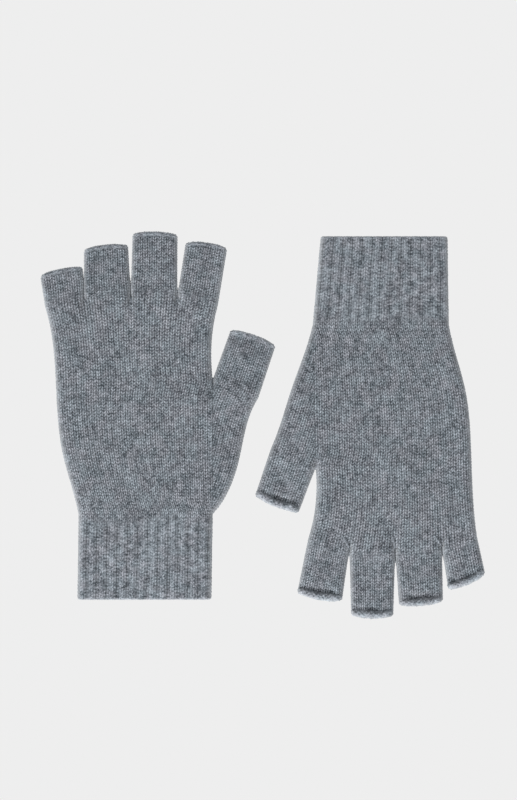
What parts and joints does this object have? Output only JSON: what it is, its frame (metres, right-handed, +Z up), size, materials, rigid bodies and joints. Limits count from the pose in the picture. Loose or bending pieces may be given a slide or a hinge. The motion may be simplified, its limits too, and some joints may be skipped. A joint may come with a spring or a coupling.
{
  "type": "fingerless gloves",
  "caption": "Knitted fingerless gloves lying flat: hollow hands with short open finger and thumb tubes and ribbed cuffs.",
  "frame": {"origin": "middle of the two gloves' footprint, on the surface they lie on", "axes": "+Z up; the left glove lies at -X with its fingertips towards +Y, the right glove at +X with its fingertips towards -Y"},
  "size_m": [0.2669, 0.2314, 0.0088],
  "materials": {
    "plain_knit": "soft heathered plain knit",
    "rib_knit": "soft heathered ribbed knit",
    "edge_roll": "soft heathered rolled knit edge",
    "darn_yarn": "soft heathered yarn"
  },
  "bodies": {
    "left_hand": {"left_hand": "plain_knit", "left_crotch_darns": "darn_yarn"},
    "left_cuff": {"left_cuff": "rib_knit", "left_cuff_edge": "edge_roll"},
    "left_thumb": {"left_thumb": "plain_knit", "left_thumb_edge": "edge_roll"},
    "left_little": {"left_little": "plain_knit", "left_little_edge": "edge_roll"},
    "left_ring": {"left_ring": "plain_knit", "left_ring_edge": "edge_roll"},
    "left_middle": {"left_middle": "plain_knit", "left_middle_edge": "edge_roll"},
    "left_index": {"left_index": "plain_knit", "left_index_edge": "edge_roll"},
    "right_hand": {"right_hand": "plain_knit", "right_crotch_darns": "darn_yarn"},
    "right_cuff": {"right_cuff": "rib_knit", "right_cuff_edge": "edge_roll"},
    "right_thumb": {"right_thumb": "plain_knit", "right_thumb_edge": "edge_roll"},
    "right_little": {"right_little": "plain_knit", "right_little_edge": "edge_roll"},
    "right_ring": {"right_ring": "plain_knit", "right_ring_edge": "edge_roll"},
    "right_middle": {"right_middle": "plain_knit", "right_middle_edge": "edge_roll"},
    "right_index": {"right_index": "plain_knit", "right_index_edge": "edge_roll"}
  },
  "joints": [
    {"name": "right_glove_lift", "type": "slide", "parent": "left_hand", "child": "right_hand", "axis": [0, 0, 1], "range_m": [0, 0.12]},
    {"name": "left_thumb_fold", "type": "hinge", "parent": "left_hand", "child": "left_thumb", "pos_m": [-0.01526, 0.0244, 0.0044], "axis": [0.9259, -0.3778, 0], "range_deg": [0, 75]},
    {"name": "left_little_fold", "type": "hinge", "parent": "left_hand", "child": "left_little", "pos_m": [-0.11933, 0.07608, 0.0044], "axis": [0.9835, 0.1807, 0], "range_deg": [0, 75]},
    {"name": "left_ring_fold", "type": "hinge", "parent": "left_hand", "child": "left_ring", "pos_m": [-0.09328, 0.07903, 0.0044], "axis": [0.9986, 0.0537, 0], "range_deg": [0, 75]},
    {"name": "left_middle_fold", "type": "hinge", "parent": "left_hand", "child": "left_middle", "pos_m": [-0.0652, 0.07953, 0.0044], "axis": [0.9998, -0.018, 0], "range_deg": [0, 75]},
    {"name": "left_index_fold", "type": "hinge", "parent": "left_hand", "child": "left_index", "pos_m": [-0.03862, 0.07713, 0.0044], "axis": [0.9855, -0.1696, 0], "range_deg": [0, 75]},
    {"name": "left_cuff_fold", "type": "hinge", "parent": "left_hand", "child": "left_cuff", "pos_m": [-0.07086, -0.05604, 0.0044], "axis": [-1, 0, 0], "range_deg": [0, 60]},
    {"name": "right_thumb_fold", "type": "hinge", "parent": "right_hand", "child": "right_thumb", "pos_m": [0.01709, -0.02284, 0.0044], "axis": [-0.9256, 0.3785, 0], "range_deg": [0, 75]},
    {"name": "right_little_fold", "type": "hinge", "parent": "right_hand", "child": "right_little", "pos_m": [0.11871, -0.07266, 0.0044], "axis": [-0.9665, -0.2565, 0], "range_deg": [0, 75]},
    {"name": "right_ring_fold", "type": "hinge", "parent": "right_hand", "child": "right_ring", "pos_m": [0.09362, -0.07656, 0.0044], "axis": [-0.9974, -0.0715, 0], "range_deg": [0, 75]},
    {"name": "right_middle_fold", "type": "hinge", "parent": "right_hand", "child": "right_middle", "pos_m": [0.0657, -0.07737, 0.0044], "axis": [-0.9999, 0.0146, 0], "range_deg": [0, 75]},
    {"name": "right_index_fold", "type": "hinge", "parent": "right_hand", "child": "right_index", "pos_m": [0.03897, -0.07419, 0.0044], "axis": [-0.9735, 0.2286, 0], "range_deg": [0, 75]},
    {"name": "right_cuff_fold", "type": "hinge", "parent": "right_hand", "child": "right_cuff", "pos_m": [0.07104, 0.06265, 0.0044], "axis": [1, 0, 0], "range_deg": [0, 60]}
  ]
}
